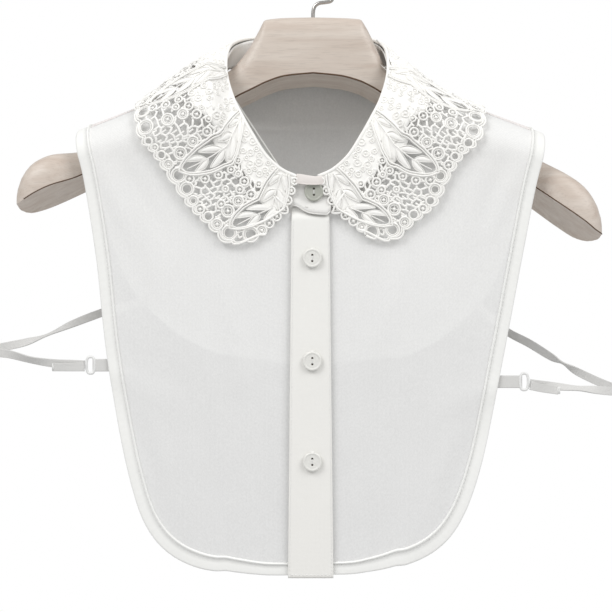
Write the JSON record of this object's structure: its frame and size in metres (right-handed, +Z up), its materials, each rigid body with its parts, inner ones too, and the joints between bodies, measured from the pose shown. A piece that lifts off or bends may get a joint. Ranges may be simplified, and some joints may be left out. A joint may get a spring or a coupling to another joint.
{
  "type": "lace collar on a clothes hanger",
  "caption": "Sheer detachable blouse collar with a guipure lace fall, button placket and elastic side straps, hanging on a wide wooden hanger.",
  "frame": {"origin": "inner top of the hanger's hook, where a rail carries it", "axes": "+X to the viewer's right as it hangs, +Y from the front of the collar to its back, +Z up"},
  "size_m": [0.4561, 0.1117, 0.4701],
  "materials": {
    "cloth": "sheer off-white chiffon, fine plain weave, slightly see-through",
    "edge_band": "doubled off-white chiffon band, pressed flat, edge stitched",
    "stand_cloth": "interfaced off-white chiffon",
    "lace": "off-white guipure lace of thick embroidered cords",
    "wood": "pale unvarnished wood, fine grain",
    "steel": "round wire, dull nickel",
    "button": "white shirt button, slightly pearly",
    "elastic": "flat white elastic, ribbed along its length",
    "ring": "white moulded ring"
  },
  "bodies": {
    "root": {"hanger_bar": "wood", "hanger_hook": "steel", "front_left": "cloth", "front_right": "cloth", "back_panel": "cloth", "binding_front_left": "edge_band", "binding_front_right": "edge_band", "binding_back": "edge_band", "placket": "edge_band", "collar_stand": "stand_cloth", "neck_strip": "stand_cloth", "lace_left": "lace", "lace_right": "lace", "button_1": "button", "button_2": "button", "button_3": "button", "button_stand": "button", "strap_left": "elastic", "strap_right": "elastic", "tab_left": "elastic", "tab_right": "elastic", "slider_left": "ring", "slider_right": "ring"}
  },
  "joints": []
}
